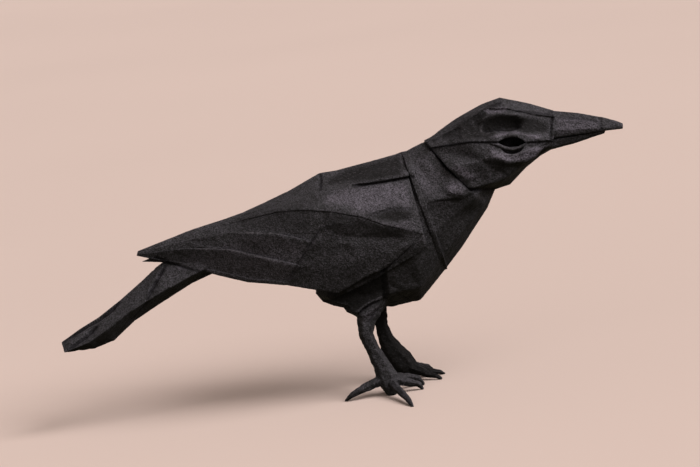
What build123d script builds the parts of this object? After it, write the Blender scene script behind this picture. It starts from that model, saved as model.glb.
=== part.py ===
from build123d import *

import math
import os
from dataclasses import dataclass

# A crow folded from one sheet of black paper, standing on its two feet.
# X runs from the tail to the beak, Y to the bird's left, Z up. The origin is on the ground under the middle.
# The paper runs through crosswise sections, whose corners are the creases, and is flat between them.

# Paper
SHEET = 1.1  # a flap: several layers of paper pressed together
LAYER = 0.75  # how far one flap's edge stands over the flap below it
CAPE_SHEET = 1.4  # thickness of the upper back panel
CAPE_PROUD = 1.35  # how far the upper back panel stands over the creases of the wing
FLANK_LAYER = 0.4  # how far the flank panel's rear edge stands over the folded feathers
PLEAT = 0.8  # step from one folded feather up to the next one below it
HEM = 0.5  # how far the hem along the wing's lower edge stands out
HEM_SHARE = 0.15  # height of the hem as a share of the lowest feather
WALL = 1.7  # the closed body, which has flaps pressed on to it
BACKING = 0.5  # depth of the shoulders' body under the outer face of the wing

# Collar
COLLAR_PROUD = 0.9  # how far the collar band stands over the neck

# Feet
TOE_SIDES = 5
LEG_SIDES = 6


@dataclass
class Rib:
    """One crosswise section of folded paper: its lower and upper end as (x, z), and its creases as
    (height above the foot, distance out from the middle), in order from the top down."""

    foot: tuple
    head: tuple
    creases: list

    def plane(self):
        """Plane of the section: local x runs out to the bird's right, local y up from foot to head."""
        up = Vector(self.head[0] - self.foot[0], 0, self.head[1] - self.foot[1]).normalized()
        out = Vector(0, -1, 0)
        return Plane(origin=(self.foot[0], 0, self.foot[1]), x_dir=out, z_dir=out.cross(up))

    def span(self):
        """Height of the uppermost crease."""
        return self.creases[0][0]

    def line(self, numbers=None):
        """The creases with the given numbers, or all of them, as points of (out, height)."""
        wanted = range(len(self.creases)) if numbers is None else numbers
        return [Vector(self.creases[i][1], self.creases[i][0]) for i in wanted]


def between(rib, other, share):
    """The section a share of the way from one rib to another."""

    def mix(a, b):
        return tuple(p + (q - p) * share for p, q in zip(a, b))

    creases = [mix(a, b) for a, b in zip(rib.creases, other.creases)]
    return Rib(mix(rib.foot, other.foot), mix(rib.head, other.head), creases)


def mitres(line):
    """Way out of the paper at each crease: square to its panels, and mitred where they meet. A line
    that starts or ends in the middle is mitred with its own mirror image there."""
    normals = [Vector(a.Y - b.Y, b.X - a.X).normalized() for a, b in zip(line, line[1:])]
    ways = []
    for i, crease in enumerate(line):
        before, after = normals[max(i - 1, 0)], normals[min(i, len(normals) - 1)]
        if crease.X == 0 and i == 0:
            before = Vector(-after.X, after.Y)
        elif crease.X == 0:
            after = Vector(-before.X, before.Y)
        ways.append((before + after) / (1 + before.dot(after)))
    return ways


def moved_out(line, distance):
    """The line of creases, moved out of the paper by a distance."""
    return [crease + way * distance for crease, way in zip(line, mitres(line))]


def ring(line):
    """Closed outline: the creases on the right, and the same ones mirrored on the left."""
    return line + [Vector(-crease.X, crease.Y) for crease in reversed(line) if crease.X > 1e-6]


def panels(planes, outlines):
    """Solid through the closed outlines. The paper between two outlines folds from crease to crease and
    along each panel's diagonal, so that every facet is flat."""
    loops = [[plane.from_local_coords(p) for p in outline] for plane, outline in zip(planes, outlines)]
    facets = [Face(Wire.make_polygon(loops[0])), Face(Wire.make_polygon(loops[-1]))]
    for outline, near, far in zip(outlines, loops, loops[1:]):
        for i in range(len(outline)):
            corners = [near[i - 1], near[i], far[i], far[i - 1]]
            if outline[i - 1].Y < outline[i].Y:
                corners = corners[1:] + corners[:1]
            facets.append(Face(Wire.make_polygon(corners[:3])))
            facets.append(Face(Wire.make_polygon([corners[0], corners[2], corners[3]])))
    return Solid(Shell(facets))


def tube(ribs, proud=0.0, numbers=None):
    """Closed body through the ribs, its surface moved out from the creases by proud."""
    outlines = [ring(moved_out(rib.line(numbers), proud)) for rib in ribs]
    return panels([rib.plane() for rib in ribs], outlines)


def flap(ribs, numbers, proud, thickness=SHEET):
    """Folded flap through the ribs, whose outer face stands proud of their creases, by one distance or
    by one for each rib."""
    stands = proud if isinstance(proud, list) else [proud] * len(ribs)
    outlines = []
    for rib, stand in zip(ribs, stands):
        line = rib.line(numbers)
        outlines.append(moved_out(line, stand) + moved_out(line, stand - thickness)[::-1])
    return panels([rib.plane() for rib in ribs], outlines)


def channel(ribs, thickness):
    """Sheet folded down on both sides of its ridge, with its hems turned in below."""
    outlines = []
    for rib in ribs:
        right = rib.line()[1:] + moved_out(rib.line(), -thickness)[:0:-1]
        ridge = rib.line()[0]
        hollow = moved_out(rib.line(), -thickness)[0]
        left = [Vector(-crease.X, crease.Y) for crease in reversed(right)]
        outlines.append([ridge] + right + [hollow] + left)
    return panels([rib.plane() for rib in ribs], outlines)


def feathers(ribs):
    """Rear part of the wing, pleated so that each feather's upper edge stands over the one above."""
    outlines = []
    for rib in ribs:
        line = rib.line()
        ways = mitres(line)
        step = min(PLEAT, 0.025 * rib.span())
        stand = min(HEM, 0.025 * rib.span())
        thin = min(SHEET, 0.3 * rib.span())
        hem = line[6] + (line[5] - line[6]) * HEM_SHARE
        outer = line[:4]
        for i in (4, 5):
            outer += [line[i], line[i] + ways[i] * step]
        outer += [hem, hem + ways[6] * stand, line[6] + ways[6] * stand]
        outlines.append(outer + moved_out(line, -thin)[::-1])
    return panels([rib.plane() for rib in ribs], outlines)


def limb(stations, across, sides, turn=0):
    """Rolled and creased paper through stations of (x, y, z, radius across, radius up)."""
    centres = [Vector(*station[:3]) for station in stations]
    planes = []
    outlines = []
    for i, (centre, station) in enumerate(zip(centres, stations)):
        along = centres[min(i + 1, len(centres) - 1)] - centres[max(i - 1, 0)]
        planes.append(Plane(origin=centre, x_dir=across.cross(along), z_dir=along))
        angles = [math.radians(turn + 360 * k / sides) for k in range(sides)]
        wide, high = station[3], station[-1]
        outlines.append([Vector(wide * math.cos(a), high * math.sin(a)) for a in angles])
    return panels(planes, outlines)


def leg(stations):
    """Leg, rolled tight, with a crease down its front and its back."""
    return limb(stations, Vector(0, 1, 0), LEG_SIDES)


def toe(stations):
    """Toe with a ridge on top and a flat sole, bent down to the claw."""
    return limb(stations, Vector(0, 0, 1), TOE_SIDES, turn=90)


# Trunk, from the rump to inside the head. Creases: back, back edge, shoulder, flank, belly edge, keel.
TRUNK = [
    Rib((-59.1, 67.5), (-46.9, 86.0), [(20.5, 0), (17.5, 3), (13.5, 6), (8.5, 6.6), (3, 4), (0, 0)]),
    Rib((-38.4, 60.0), (-22.7, 93.5), [(35, 0), (31, 5.5), (25, 12), (16, 14), (5, 8.5), (0, 0)]),
    Rib((-11.1, 48.6), (5.2, 101.5),
        [(53.6, 0), (46.5, 8.5), (36.5, 19.3), (22.5, 20.8), (6.5, 13.5), (0, 0)]),
    Rib((6.0, 39.0), (20.3, 104.3), [(65.3, 0), (57, 9), (44, 21), (27, 21.3), (9, 15), (0, 0)]),
    Rib((20.5, 37.5), (28.3, 105.6), [(67.3, 0), (58, 9), (44, 20.2), (27, 20), (9, 14), (0, 0)]),
    Rib((33.5, 38.9), (31.5, 107.3),
        [(67.4, 0), (58.5, 8.7), (42, 18.3), (24, 17.6), (8, 10.5), (0, 0)]),
    Rib((46.5, 51.9), (34.1, 108.6), [(58, 0), (53, 8.2), (34.6, 17), (21, 15.6), (8, 9.5), (0, 0)]),
    Rib((56.0, 62.0), (38.4, 110.3), [(51.4, 0), (46, 7.8), (27, 16.2), (16, 13.6), (6, 8), (0, 0)]),
    Rib((68.7, 77.3), (46.7, 113.4), [(42.2, 0), (37, 6.2), (19, 13.4), (9, 12), (3, 6), (0, 0)]),
    Rib((74.4, 87.6), (55.0, 115.2), [(33.8, 0), (29.8, 6), (15.8, 11.5), (10.8, 9.5), (5, 5), (0, 0)]),
]

# Head, from the hood's back edge to the root of the beak.
# Creases: crown, brow edge, its step, temple, eye line, its step, cheek, jaw, throat.
HEAD = [
    Rib((63.3, 86.5), (43.7, 112.4),
        [(32.4, 0), (31.6, 3.2), (31.1, 3), (30.4, 5.4), (29.6, 7.6), (28.9, 7.3), (17.5, 15.3),
         (4.2, 14.4), (0, 0)]),
    Rib((74.8, 85.9), (59.1, 120.6),
        [(38.1, 0), (35.1, 6.5), (34.5, 6.1), (31.2, 10.6), (28, 14.2), (27.3, 13.5), (18, 15.0),
         (5.5, 12.2), (0, 0)]),
    Rib((80.5, 87.0), (72.1, 125.9),
        [(39.8, 0), (38.4, 7), (37.7, 6.6), (31, 9.2), (23.3, 13.8), (22.5, 13), (16.5, 14.6),
         (5.5, 9.6), (0, 0)]),
    Rib((89.2, 94.2), (80.4, 127.9),
        [(34.8, 0), (30.5, 6.8), (29.7, 6.1), (22.2, 7.8), (14.2, 11.8), (13.5, 11), (9.5, 12),
         (3.5, 7), (0, 0)]),
    Rib((95.9, 98.5), (94.0, 123.1),
        [(24.7, 0), (20.6, 5.4), (19.9, 4.7), (15, 6.5), (7.8, 8.6), (7.1, 7.9), (4.6, 7.6), (1.8, 4),
         (0, 0)]),
    Rib((101.2, 100.7), (104.4, 118.6),
        [(18.2, 0), (15.8, 4.4), (15.1, 3.7), (11.3, 5.2), (4.8, 6.3), (4.1, 5.6), (2.6, 5), (1.2, 3),
         (0, 0)]),
]
HEAD_HOLLOW = [between(HEAD[0], HEAD[1], 0.2)] + HEAD[1:5]
HEAD_CREASES = (0, 1, 3, 4, 6, 7, 8)  # without the steps, for the hollow inside

# Upper beak. Creases: culmen, upper edge, side, lower edge, palate.
BEAK = [
    Rib((94.5, 105.6), (95.2, 119.6), [(14, 0), (10.5, 3.2), (5, 5.2), (0.6, 4.4), (0, 0)]),
    Rib((100.7, 105.8), (101.6, 118.2), [(13.3, 0), (10.2, 3.1), (4.4, 5), (0.6, 4.4), (0, 0)]),
    Rib((115, 106), (116, 115.1), [(9.9, 0), (6.6, 2.3), (3, 3.6), (0.4, 3.2), (0, 0)]),
    Rib((126.1, 106.2), (126.8, 112.1), [(6.3, 0), (3.5, 1.5), (1.6, 2.2), (0.3, 1.9), (0, 0)]),
    Rib((132.1, 106), (132.5, 110.1), [(4.1, 0), (2.7, 1), (1.3, 1.4), (0.2, 1.2), (0, 0)]),
    Rib((134.8, 105.9), (135.2, 108.5), [(2.6, 0), (2.1, 0.7), (1.1, 1.0), (0.3, 0.8), (0, 0)]),
]

# Lower beak. Creases: upper edge in the middle, outer edge, side, keel.
MANDIBLE = [
    Rib((94.5, 100.4), (94.5, 106.8), [(6.4, 0), (5.1, 3.8), (1.6, 3.4), (0, 0)]),
    Rib((98.7, 100.4), (98.9, 106.9), [(6.5, 0), (5.2, 4), (1.5, 3.2), (0, 0)]),
    Rib((112.3, 102.1), (112.3, 106.9), [(4.8, 0), (3.6, 2.7), (1.1, 2), (0, 0)]),
    Rib((126.4, 105.0), (126.4, 106.8), [(1.8, 0), (1.2, 1.3), (0.4, 0.9), (0, 0)]),
]

# Wing, from its front edge at the collar to its tip.
# Creases: back edge, shoulder slit, shoulder, cover edge, first feather, second feather, lower edge.
WING = [
    Rib((38.5, 67.3), (33.1, 108.4),
        [(40.1, 0), (31.1, 11), (16.7, 18.5), (5.8, 20.6), (3.6, 20.3), (1.8, 19.8), (0, 19)]),
    Rib((13.7, 58.9), (29.8, 107.9),
        [(50.2, 0), (40.9, 11.5), (28.5, 20), (22.2, 24.5), (16.4, 23.2), (8, 22.4), (0, 20.5)]),
    Rib((-4.2, 51.3), (20.5, 106.8),
        [(59.2, 0), (50.8, 12), (40.6, 22.3), (37.1, 25), (26.5, 23.8), (13, 23), (0, 19.5)]),
    Rib((-26.7, 57.6), (9.2, 105.0),
        [(58.2, 0), (49.9, 12), (42.3, 21.6), (39.8, 23.5), (24.2, 22.8), (11.4, 20.8), (0, 17.5)]),
    Rib((-35.3, 58.9), (-6.0, 103.4),
        [(53.2, 0), (46.3, 9.6), (40.6, 17.6), (38.4, 19.4), (25.1, 20.3), (12.7, 18.3), (0, 14.6)]),
    Rib((-44.7, 60.3), (-21.4, 97.4),
        [(43.1, 0), (39.6, 8), (37.6, 13.6), (36.2, 15.2), (26, 17.5), (14.2, 15.5), (0, 11.5)]),
    Rib((-58.1, 64.4), (-42.7, 90.4),
        [(30.0, 0), (29.1, 2.5), (28.2, 3.8), (27, 5), (22.1, 9), (13.7, 9.5), (0, 6.5)]),
    Rib((-74.5, 70.6), (-67.9, 85.4),
        [(16.2, 1), (15.4, 1.6), (14.8, 2.1), (14.1, 2.6), (12.2, 4), (8.4, 4.6), (0, 3)]),
    Rib((-93.9, 77.2), (-92.9, 79.6),
        [(1.8, 0.6), (1.6, 0.8), (1.4, 0.9), (1.2, 1.0), (0.9, 1.1), (0.6, 1.15), (0, 1.0)]),
]
COVER = WING[:7] + [between(WING[6], WING[7], 0.3)]
COVER_PROUD = [LAYER] * 6 + [0.5, 0.1]
CREASE_LINE = 3  # the rib where the flank panel ends and the folded feathers begin

# Collar band round the neck, over the trunk's section there
COLLAR = [
    Rib((foot, 51.9), (top, 108.6),
        [(57.3, 0), (52.3, 8.2), (34.6, 17), (21, 15.6), (8.2, 9.5), (1, 0)])
    for foot, top in ((45.2, 33.0), (47.3, 35.7))
]

# Closed body under the front of the wings
BACKED = WING[:3] + [between(WING[2], WING[3], 0.95)]

# Upper back panel, over the front of the cover. Creases: back edge, shoulder slit.
CAPE = [Rib(rib.foot, rib.head, rib.creases[:2]) for rib in WING[:3]]
CAPE.append(Rib((-5.8, 96.6), (-4.9, 102.1), [(5.5, 0), (0, 10.5)]))

# Fold that shows under the wing's lower edge. Creases: its upper and its lower edge.
UNDERFOLD = [
    Rib((38.5, 67.3), (33.1, 108.4), [(5, 19.8), (-0.6, 18.9)]),
    Rib((26.1, 63.1), (31.5, 108.2), [(5, 20.8), (-2.2, 19.7)]),
    Rib((13.7, 58.9), (29.8, 107.9), [(5, 20.8), (-4.4, 18.8)]),
    Rib((-4.2, 51.3), (20.5, 106.8), [(5, 19.6), (-2.8, 16.4)]),
]

# Tail, from inside the rump to its end. Creases: ridge, outer edge, turned-in hem.
TAIL = [
    Rib((-45.6, 69.1), (-50.1, 87.0), [(17.5, 0), (4.5, 4.5), (0, 2.2)]),
    Rib((-69.8, 61.5), (-81.1, 74.2), [(16.2, 0), (4.3, 7.8), (0, 3)]),
    Rib((-83.7, 54.9), (-92.5, 66.3), [(13.8, 0), (5.4, 9), (0, 3.5)]),
    Rib((-98.6, 47.6), (-104.4, 57.5), [(11.5, 0), (5.6, 9.5), (0, 4)]),
    Rib((-109.5, 39.6), (-115.7, 50.9), [(12.8, 0), (6.9, 9.5), (0, 4.5)]),
    Rib((-118.7, 37.1), (-124.7, 46.6), [(11.3, 0), (4.7, 9), (0, 4.5)]),
    Rib((-132.3, 37.3), (-134.3, 41.5), [(4.6, 0), (0.6, 8), (0, 3.4)]),
]

# Feather between the two wings, under their tips, as (x, z)
MIDDLE_FEATHER = [
    (-91.8, 73.9), (-86.9, 75.4), (-64.6, 75.9), (-57.8, 75.0), (-58.7, 68.5), (-64.4, 67.4),
     (-82.3, 72.4),
]

# Thigh: side outline as (x, z), and how far out it is full and where it ends
THIGH = [
    (-13.8, 54.1), (-14.6, 49.6), (-11.8, 45.2), (-7.2, 42.8), (-2.8, 41.2), (-1.3, 38.6), (2.2, 36.5),
    (3.2, 35.2), (9.5, 32.4), (17.0, 38.8), (20.5, 46.7), (13.8, 56.1), (-4.3, 59.4),
]
THIGH_MIDDLE = (4.0, 48.0)
THIGH_FULL = 5.0
THIGH_END = 14.5
THIGH_TAPER = 0.7

# Legs: stations of (x, y, z, radius fore and aft, radius sideways).
RIGHT_LEG = [
    (11.7, -9, 47.5, 8, 5), (9.4, -10, 40.5, 6.2, 4.6), (7.3, -11, 35.3, 4.8, 3.8),
     (6.4, -12.5, 28.7, 3.9, 3.2),
    (8.7, -13.5, 21.5, 3.6, 3.0), (11.4, -14.5, 14.2, 4.2, 3.2), (13.0, -15, 8.4, 5, 3.8),
    (14.0, -15.5, 4.2, 4.3, 3.6), (14.2, -15.5, 1.3, 3.1, 2.7), (14.3, -15.5, -0.8, 2.1, 2.0),
]
LEFT_LEG = [
    (14.0, 8, 46, 6, 5), (13.3, 8.2, 36, 4.2, 3.4), (13.4, 8.6, 28, 3.4, 2.8), (14.8, 9, 21, 4.1, 2.8),
    (17.2, 9.4, 15, 5.3, 3.2), (20.4, 9.8, 10, 5.9, 3.6), (23.5, 10, 6, 5.0, 3.8),
     (24.9, 10.2, 1.5, 3.4, 3.0),
    (25.1, 10.3, -0.8, 2.2, 2.0),
]

# Toes, from inside the foot to the claw: stations of (x, y, z, radius)
RIGHT_TOES = [
    [(11, -15.2, 7.0, 2.8), (8.6, -15.5, 6.9, 2.6), (1, -17, 4.7, 2.1), (-4.5, -17.5, 2.4, 1.4),
     (-7.4, -16.5, 0, 0.7)],
    [(13, -14.5, 7, 2.6), (15.3, -18.5, 5.6, 2.2), (18, -26, 3.6, 1.9), (20.6, -35, 2.3, 1.5),
     (22.5, -43, 0, 0.7)],
    [(13, -15, 7, 2.8), (17, -14, 6.3, 2.6), (23, -13.5, 4.0, 2.1), (27, -13.2, 2.8, 1.6),
     (28.8, -13.2, 0, 0.8)],
    [(13, -15, 7, 2.6), (17, -12, 7.0, 2.3), (23.5, -8, 5.2, 1.9), (27.5, -6, 3.8, 1.4),
     (29.6, -5.4, 0.2, 0.8)],
]
LEFT_TOES = [
    [(24, 10, 5.6, 3), (28, 10, 4.3, 2.7), (33.5, 10, 2.1, 1.9), (37.8, 10.5, 1.5, 1.3),
     (40.5, 11, 0, 0.7)],
    [(25, 9, 5.6, 2.6), (28, 7, 4.5, 2.4), (32.5, 3.8, 2.5, 1.8), (36.4, 1.9, 1.6, 1.2),
     (38.4, 1.2, 0, 0.7)],
    [(25, 11, 5.8, 2.6), (27, 13, 5, 2.4), (30.5, 18, 3.2, 1.9), (33.5, 22.5, 1.9, 1.3),
     (35, 25, 0, 0.7)],
    [(24, 10.2, 5.8, 2.8), (20, 10.5, 5.4, 2.5), (14, 11, 4.2, 2), (9, 11, 2.4, 1.3),
     (6.8, 11, 0, 0.7)],
]

# Layer down the middle of the head, which closes each eye off from the other, as (x, z)
HEAD_LAYER = [(66, 98), (66, 116), (84, 120), (96, 116), (96, 104), (84, 98)]

# Eye: opening between the lids as (x, z), the rolled lower lid, and the slit under it as (x, z)
EYE = [
    (76.2, 109.3), (79.8, 110.8), (82.6, 111.3), (85.3, 110.4), (87.4, 108.8), (89.3, 107.1),
    (85.7, 106.0), (81.6, 106.2), (78.5, 107.6),
]
EYE_INSIDE = 6
EYE_OUTSIDE = 20
LOWER_LID = [
    (72.8, -13.4, 109.3, 0.4), (76.0, -13.4, 108.2, 0.7), (79.2, -13.2, 106.3, 0.9),
    (82.9, -12.7, 105.1, 0.9), (86.3, -11.8, 105.5, 0.7), (89.6, -10.7, 107.1, 0.3),
]
SLIT = [
    (77.2, 106.2), (79.5, 105.2), (82.9, 104.2), (85.8, 104.5), (88.3, 105.4), (86.2, 103.5),
    (82.9, 102.8), (79.6, 103.7),
]

with BuildPart() as trunk:
    add(tube(TRUNK))

with BuildPart() as shoulders:
    add(tube(BACKED, proud=-BACKING))

with BuildPart() as collar:
    add(tube(COLLAR, proud=COLLAR_PROUD))

with BuildPart() as head:
    add(tube(HEAD))
    add(tube(BEAK))
    add(tube(MANDIBLE))

with BuildPart() as right_wing:
    add(flap(COVER, range(4), proud=COVER_PROUD))
    add(flap(WING[: CREASE_LINE + 1], range(3, 7), proud=FLANK_LAYER))
    add(feathers(WING[CREASE_LINE:]))
    add(flap(CAPE, range(2), proud=CAPE_PROUD, thickness=CAPE_SHEET))
    add(flap(UNDERFOLD, range(2), proud=0))

with BuildPart() as middle_feather:
    with BuildSketch(Plane.XZ):
        with BuildLine():
            Polyline(*MIDDLE_FEATHER, close=True)
        make_face()
    extrude(amount=SHEET / 2, both=True)

with BuildPart() as tail:
    add(channel(TAIL, SHEET))

with BuildPart() as right_thigh:
    for out, share in ((THIGH_FULL, 1), (THIGH_END, THIGH_TAPER)):
        with BuildSketch(Plane.XZ.offset(out)):
            with BuildLine():
                middle = Vector(*THIGH_MIDDLE)
                Polyline(*[middle + (Vector(*corner) - middle) * share for corner in THIGH], close=True)
            make_face()
    loft(ruled=True)

with BuildPart() as right_leg:
    add(leg(RIGHT_LEG))
    for stations in RIGHT_TOES:
        add(toe(stations))

with BuildPart() as left_leg:
    add(leg(LEFT_LEG))
    for stations in LEFT_TOES:
        add(toe(stations))

with BuildPart() as right_lid:
    add(toe(LOWER_LID))

with BuildPart() as hollow:
    add(tube(TRUNK[1:], proud=-WALL))
    add(tube(HEAD_HOLLOW, proud=-WALL, numbers=HEAD_CREASES))

with BuildPart() as head_layer:
    with BuildSketch(Plane.XZ):
        with BuildLine():
            Polyline(*HEAD_LAYER, close=True)
        make_face()
    extrude(amount=SHEET / 2, both=True)

with BuildPart() as eyes:
    with BuildSketch(Plane.XZ.offset(EYE_INSIDE)):
        with BuildLine():
            Polyline(*EYE, close=True)
        make_face()
        with BuildLine():
            Polyline(*SLIT, close=True)
        make_face()
    extrude(amount=EYE_OUTSIDE - EYE_INSIDE)
    mirror(about=Plane.XZ)

# The folded sheet, all of it one piece
with BuildPart() as crow:
    for mirrored in (right_wing, right_thigh, right_lid):
        add(mirrored.part)
    mirror(about=Plane.XZ)
    for folded in (trunk, shoulders, collar, head, tail, middle_feather, right_leg, left_leg):
        add(folded.part)
    add(hollow.part, mode=Mode.SUBTRACT)
    add(head_layer.part)
    add(eyes.part, mode=Mode.SUBTRACT)
    split(bisect_by=Plane.XY, keep=Keep.TOP)

box = crow.part.bounding_box()
piece = crow.part.moved(Location((-box.center().X, -box.center().Y, -box.min.Z)))
piece.label = "crow"
os.makedirs("parts", exist_ok=True)
export_step(piece, "parts/crow.step")
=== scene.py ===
"""A crow folded from one sheet of black handmade paper, standing on a plain pale floor."""

import logging
import math
from dataclasses import dataclass, field
from enum import Enum
from functools import cached_property, partial, reduce
from itertools import product

import bmesh
import bpy
from mathutils import Matrix, Vector, noise
from mathutils.bvhtree import BVHTree
from mathutils.kdtree import KDTree


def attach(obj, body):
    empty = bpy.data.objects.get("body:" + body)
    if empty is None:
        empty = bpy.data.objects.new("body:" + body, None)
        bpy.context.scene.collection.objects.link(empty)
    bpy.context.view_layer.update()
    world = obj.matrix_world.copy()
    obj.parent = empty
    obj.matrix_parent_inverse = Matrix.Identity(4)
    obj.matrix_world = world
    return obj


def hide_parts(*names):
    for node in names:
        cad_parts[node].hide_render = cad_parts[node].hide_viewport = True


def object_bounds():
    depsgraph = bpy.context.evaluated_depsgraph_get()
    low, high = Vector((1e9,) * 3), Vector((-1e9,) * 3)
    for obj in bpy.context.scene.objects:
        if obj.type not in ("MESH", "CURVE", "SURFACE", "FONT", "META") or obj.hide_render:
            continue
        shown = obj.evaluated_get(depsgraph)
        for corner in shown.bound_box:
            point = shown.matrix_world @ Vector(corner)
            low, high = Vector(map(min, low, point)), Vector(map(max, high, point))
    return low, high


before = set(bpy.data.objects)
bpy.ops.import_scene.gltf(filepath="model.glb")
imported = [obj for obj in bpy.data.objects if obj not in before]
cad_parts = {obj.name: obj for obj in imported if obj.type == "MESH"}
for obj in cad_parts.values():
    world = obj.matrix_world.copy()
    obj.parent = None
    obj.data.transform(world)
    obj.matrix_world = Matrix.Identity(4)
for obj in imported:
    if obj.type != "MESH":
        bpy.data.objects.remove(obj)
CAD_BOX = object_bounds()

log = logging.getLogger("crow")

MM = 0.001
MIDDLE_Y = 8.81 * MM  # the bird's middle plane

Point = tuple[float, float]
Triple = tuple[float, float, float]
Socket = bpy.types.NodeSocket


def share_between(value: float, low: float, high: float) -> float:
    """How far a value has come from low to high: 0 to 1, held there outside."""
    return min(1.0, max(0.0, (value - low) / (high - low)))


def unseen(item: bmesh.types.BMVert | bmesh.types.BMEdge, inside: bmesh.types.BMLayerItem) -> bool:
    """Whether every face at a corner or an edge is marked as one that nobody sees."""
    return all(face[inside] for face in item.link_faces)


def smooth(bm: bmesh.types.BMesh, verts: list[bmesh.types.BMVert], rounds: int, along: bool) -> None:
    """Evens out places of a mesh.

    Args:
        bm: the mesh.
        verts: its corners there.
        rounds: how often.
        along: whether they move along the bird too, not only up and across.
    """
    for _ in range(rounds):
        bmesh.ops.smooth_vert(
            bm, verts=verts, factor=0.5, use_axis_x=along, use_axis_y=True, use_axis_z=True
        )


class FoldKind(Enum):
    """How a fold line changes the face of the paper."""

    LAYER = "the left side of the line stands over the right side"
    VALLEY = "the paper dips along the line"
    MOUNTAIN = "the paper rises along the line"


LAYER, VALLEY, MOUNTAIN = FoldKind


@dataclass(frozen=True)
class Drawn:
    """A line or an outline drawn on the bird's side view, the same on both sides.

    Args:
        points: places along it as (x, z) in millimetres.
    """

    points: tuple[Point, ...]

    @classmethod
    def table(cls, *rows: tuple) -> tuple:
        """Shapes from rows that hold x and z of the points in turn, then the other values.

        Args:
            rows: the rows.

        Returns:
            A shape for each row.
        """
        return tuple(cls(tuple(zip(row[0][::2], row[0][1::2])), *row[1:]) for row in rows)

    @cached_property
    def box(self) -> tuple[float, float, float, float]:
        """Lowest and highest x, then lowest and highest z."""
        xs, zs = [p[0] for p in self.points], [p[1] for p in self.points]
        return min(xs), max(xs), min(zs), max(zs)

    def near(self, x: float, z: float, reach: float) -> bool:
        """False where (x, z) is surely farther off than reach, all in millimetres."""
        left, right, low, high = self.box
        return left - reach < x < right + reach and low - reach < z < high + reach

    def depth_inside(self, x: float, z: float) -> float:
        """How far inside the outline a place lies, in millimetres.

        Args:
            x: place along the bird, in millimetres.
            z: height, in millimetres.

        Returns:
            The distance from the outline, or 0 outside it.
        """
        if not self.near(x, z, 0.0):
            return 0.0
        inside, nearest = False, 1e9
        for (ax, az), (bx, bz) in zip(self.points, self.points[1:] + self.points[:1]):
            if (az > z) != (bz > z) and x < ax + (bx - ax) * (z - az) / (bz - az):
                inside = not inside
            dx, dz = bx - ax, bz - az
            t = min(1.0, max(0.0, ((x - ax) * dx + (z - az) * dz) / (dx * dx + dz * dz)))
            nearest = min(nearest, math.hypot(x - ax - dx * t, z - az - dz * t))
        return nearest if inside else 0.0


@dataclass(frozen=True)
class FoldLine(Drawn):
    """A fold or layer edge drawn on the bird's side view.

    Args:
        points: places along the line as (x, z) in millimetres.
        kind: how the paper changes at the line.
        height: how far it rises or dips, in millimetres.
        reach: how far from the line it has faded away, in millimetres.
        shade: how much painted shade the sharp bottom of the fold gets, 0 to 1.
        groove: how deep that bottom is cut in at full shade, in millimetres.
        groove_reach: how far it reaches.
        edge: half the width in which a layer comes up, in millimetres.
        press: the share of its height by which a layer presses down what it lies on.
        press_reach: how far it does so.
        end_share: the share of the rise that is left at the line's ends.
    """

    kind: FoldKind = LAYER
    height: float = 0.5
    reach: float = 7.0
    shade: float = 0.0
    groove: float = 0.45
    groove_reach: float = 0.75
    edge: float = 0.25
    press: float = 0.35
    press_reach: float = 1.5
    end_share: float = 0.15

    def nearest(self, x: float, z: float) -> tuple[float, float]:
        """Signed distance of a place from the line, and the share of the way along it.

        Args:
            x: place along the bird, in millimetres.
            z: height, in millimetres.

        Returns:
            The distance in millimetres, positive on the left, and 0 at the first point to 1 at the last.
        """
        best = (1e9, 0.0)
        count = len(self.points) - 1
        for i in range(count):
            (ax, az), (bx, bz) = self.points[i], self.points[i + 1]
            dx, dz = bx - ax, bz - az
            square = dx * dx + dz * dz
            t = min(1.0, max(0.0, ((x - ax) * dx + (z - az) * dz) / square))
            px, pz = x - ax - dx * t, z - az - dz * t
            distance = math.hypot(px, pz)
            if distance < abs(best[0]):
                side = 1.0 if dx * pz - dz * px >= 0 else -1.0
                best = (side * distance, (i + t) / count)
        return best

    def rise(self, x: float, z: float) -> float:
        """How far the paper stands out at a place of the side view, in millimetres.

        Args:
            x: place along the bird, in millimetres.
            z: height, in millimetres.

        Returns:
            The rise in millimetres, negative for a dip.
        """
        if not self.near(x, z, self.reach):
            return 0.0
        distance, share = self.nearest(x, z)
        if abs(distance) > self.reach:
            return 0.0
        ends = min(1.0, 6.0 * share, 6.0 * (1.0 - share))
        fade = 1.0 - abs(distance) / self.reach
        rise = self.height * fade * fade
        if self.kind is LAYER:
            step = share_between(distance, -self.edge, self.edge)
            rise = self.height * (step * fade if distance > 0 else step)
            rise -= self.press * self.height * (1 - step) * max(0.0, 1 + distance / self.press_reach)
        elif self.kind is VALLEY:
            rise = -rise
        cut = self.shade * self.groove * max(0.0, 1 - abs(distance + self.foot) / self.groove_reach)
        return (self.end_share + (1 - self.end_share) * ends) * rise - ends * cut

    @property
    def foot(self) -> float:
        """How far right of the line its darkest place is, in millimetres."""
        return 0.3 if self.kind is LAYER else 0.0


@dataclass(frozen=True)
class Dent(Drawn):
    """A hollow pressed into the paper, drawn on the side view.

    Args:
        points: its corners as (x, z) in millimetres.
        depth: how deep it is in the middle, in millimetres; less than 0 makes a rise.
        slope: how far in from its edge it is full, in millimetres.
        lean: 1 leaves it deep only at its lowest point, -1 only at its highest, 0 all over.
    """

    depth: float = 0.8
    slope: float = 3.0
    lean: float = 0.0

    def rise(self, x: float, z: float) -> float:
        """How far the paper stands out at a place of the side view, in millimetres.

        Args:
            x: place along the bird, in millimetres.
            z: height, in millimetres.

        Returns:
            The rise in millimetres, negative in a hollow.
        """
        nearest = self.depth_inside(x, z)
        if nearest <= 0.0:
            return 0.0
        low, high = self.box[2:]
        share = (z - low) / (high - low)
        share = share if self.lean > 0 else 1 - share
        return -self.depth * min(1.0, nearest / self.slope) * (1 - abs(self.lean) * share)


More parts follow.
